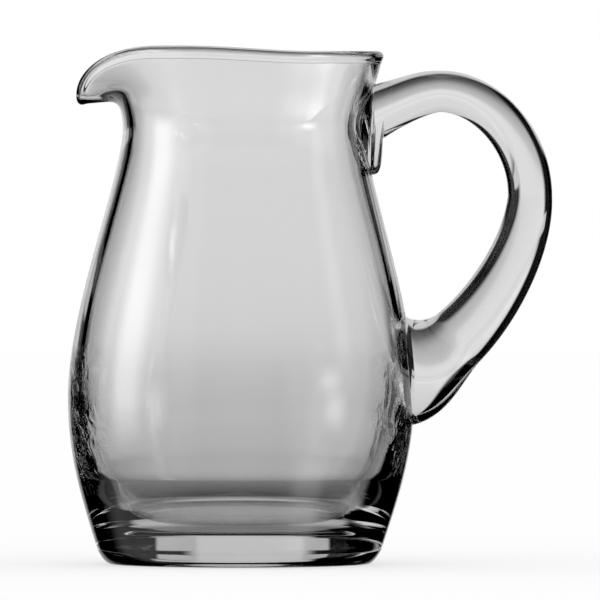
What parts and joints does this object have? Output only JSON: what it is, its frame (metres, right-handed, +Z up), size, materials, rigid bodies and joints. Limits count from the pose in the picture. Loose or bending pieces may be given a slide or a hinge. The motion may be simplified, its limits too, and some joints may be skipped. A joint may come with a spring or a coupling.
{
  "type": "glass pitcher",
  "caption": "Round-bellied clear glass pitcher with a thick base, a flared lip, a pulled spout and a welded loop handle, for serving water, juice or wine.",
  "frame": {"origin": "middle of the flat resting face, on the axis of the vessel", "axes": "+Z up along the vessel's axis, the handle to +X, the spout to -X"},
  "size_m": [0.1302, 0.0936, 0.14],
  "materials": {
    "clear_glass": "fire polished, clear"
  },
  "bodies": {
    "root": {"vessel": "clear_glass", "handle": "clear_glass"}
  },
  "joints": []
}
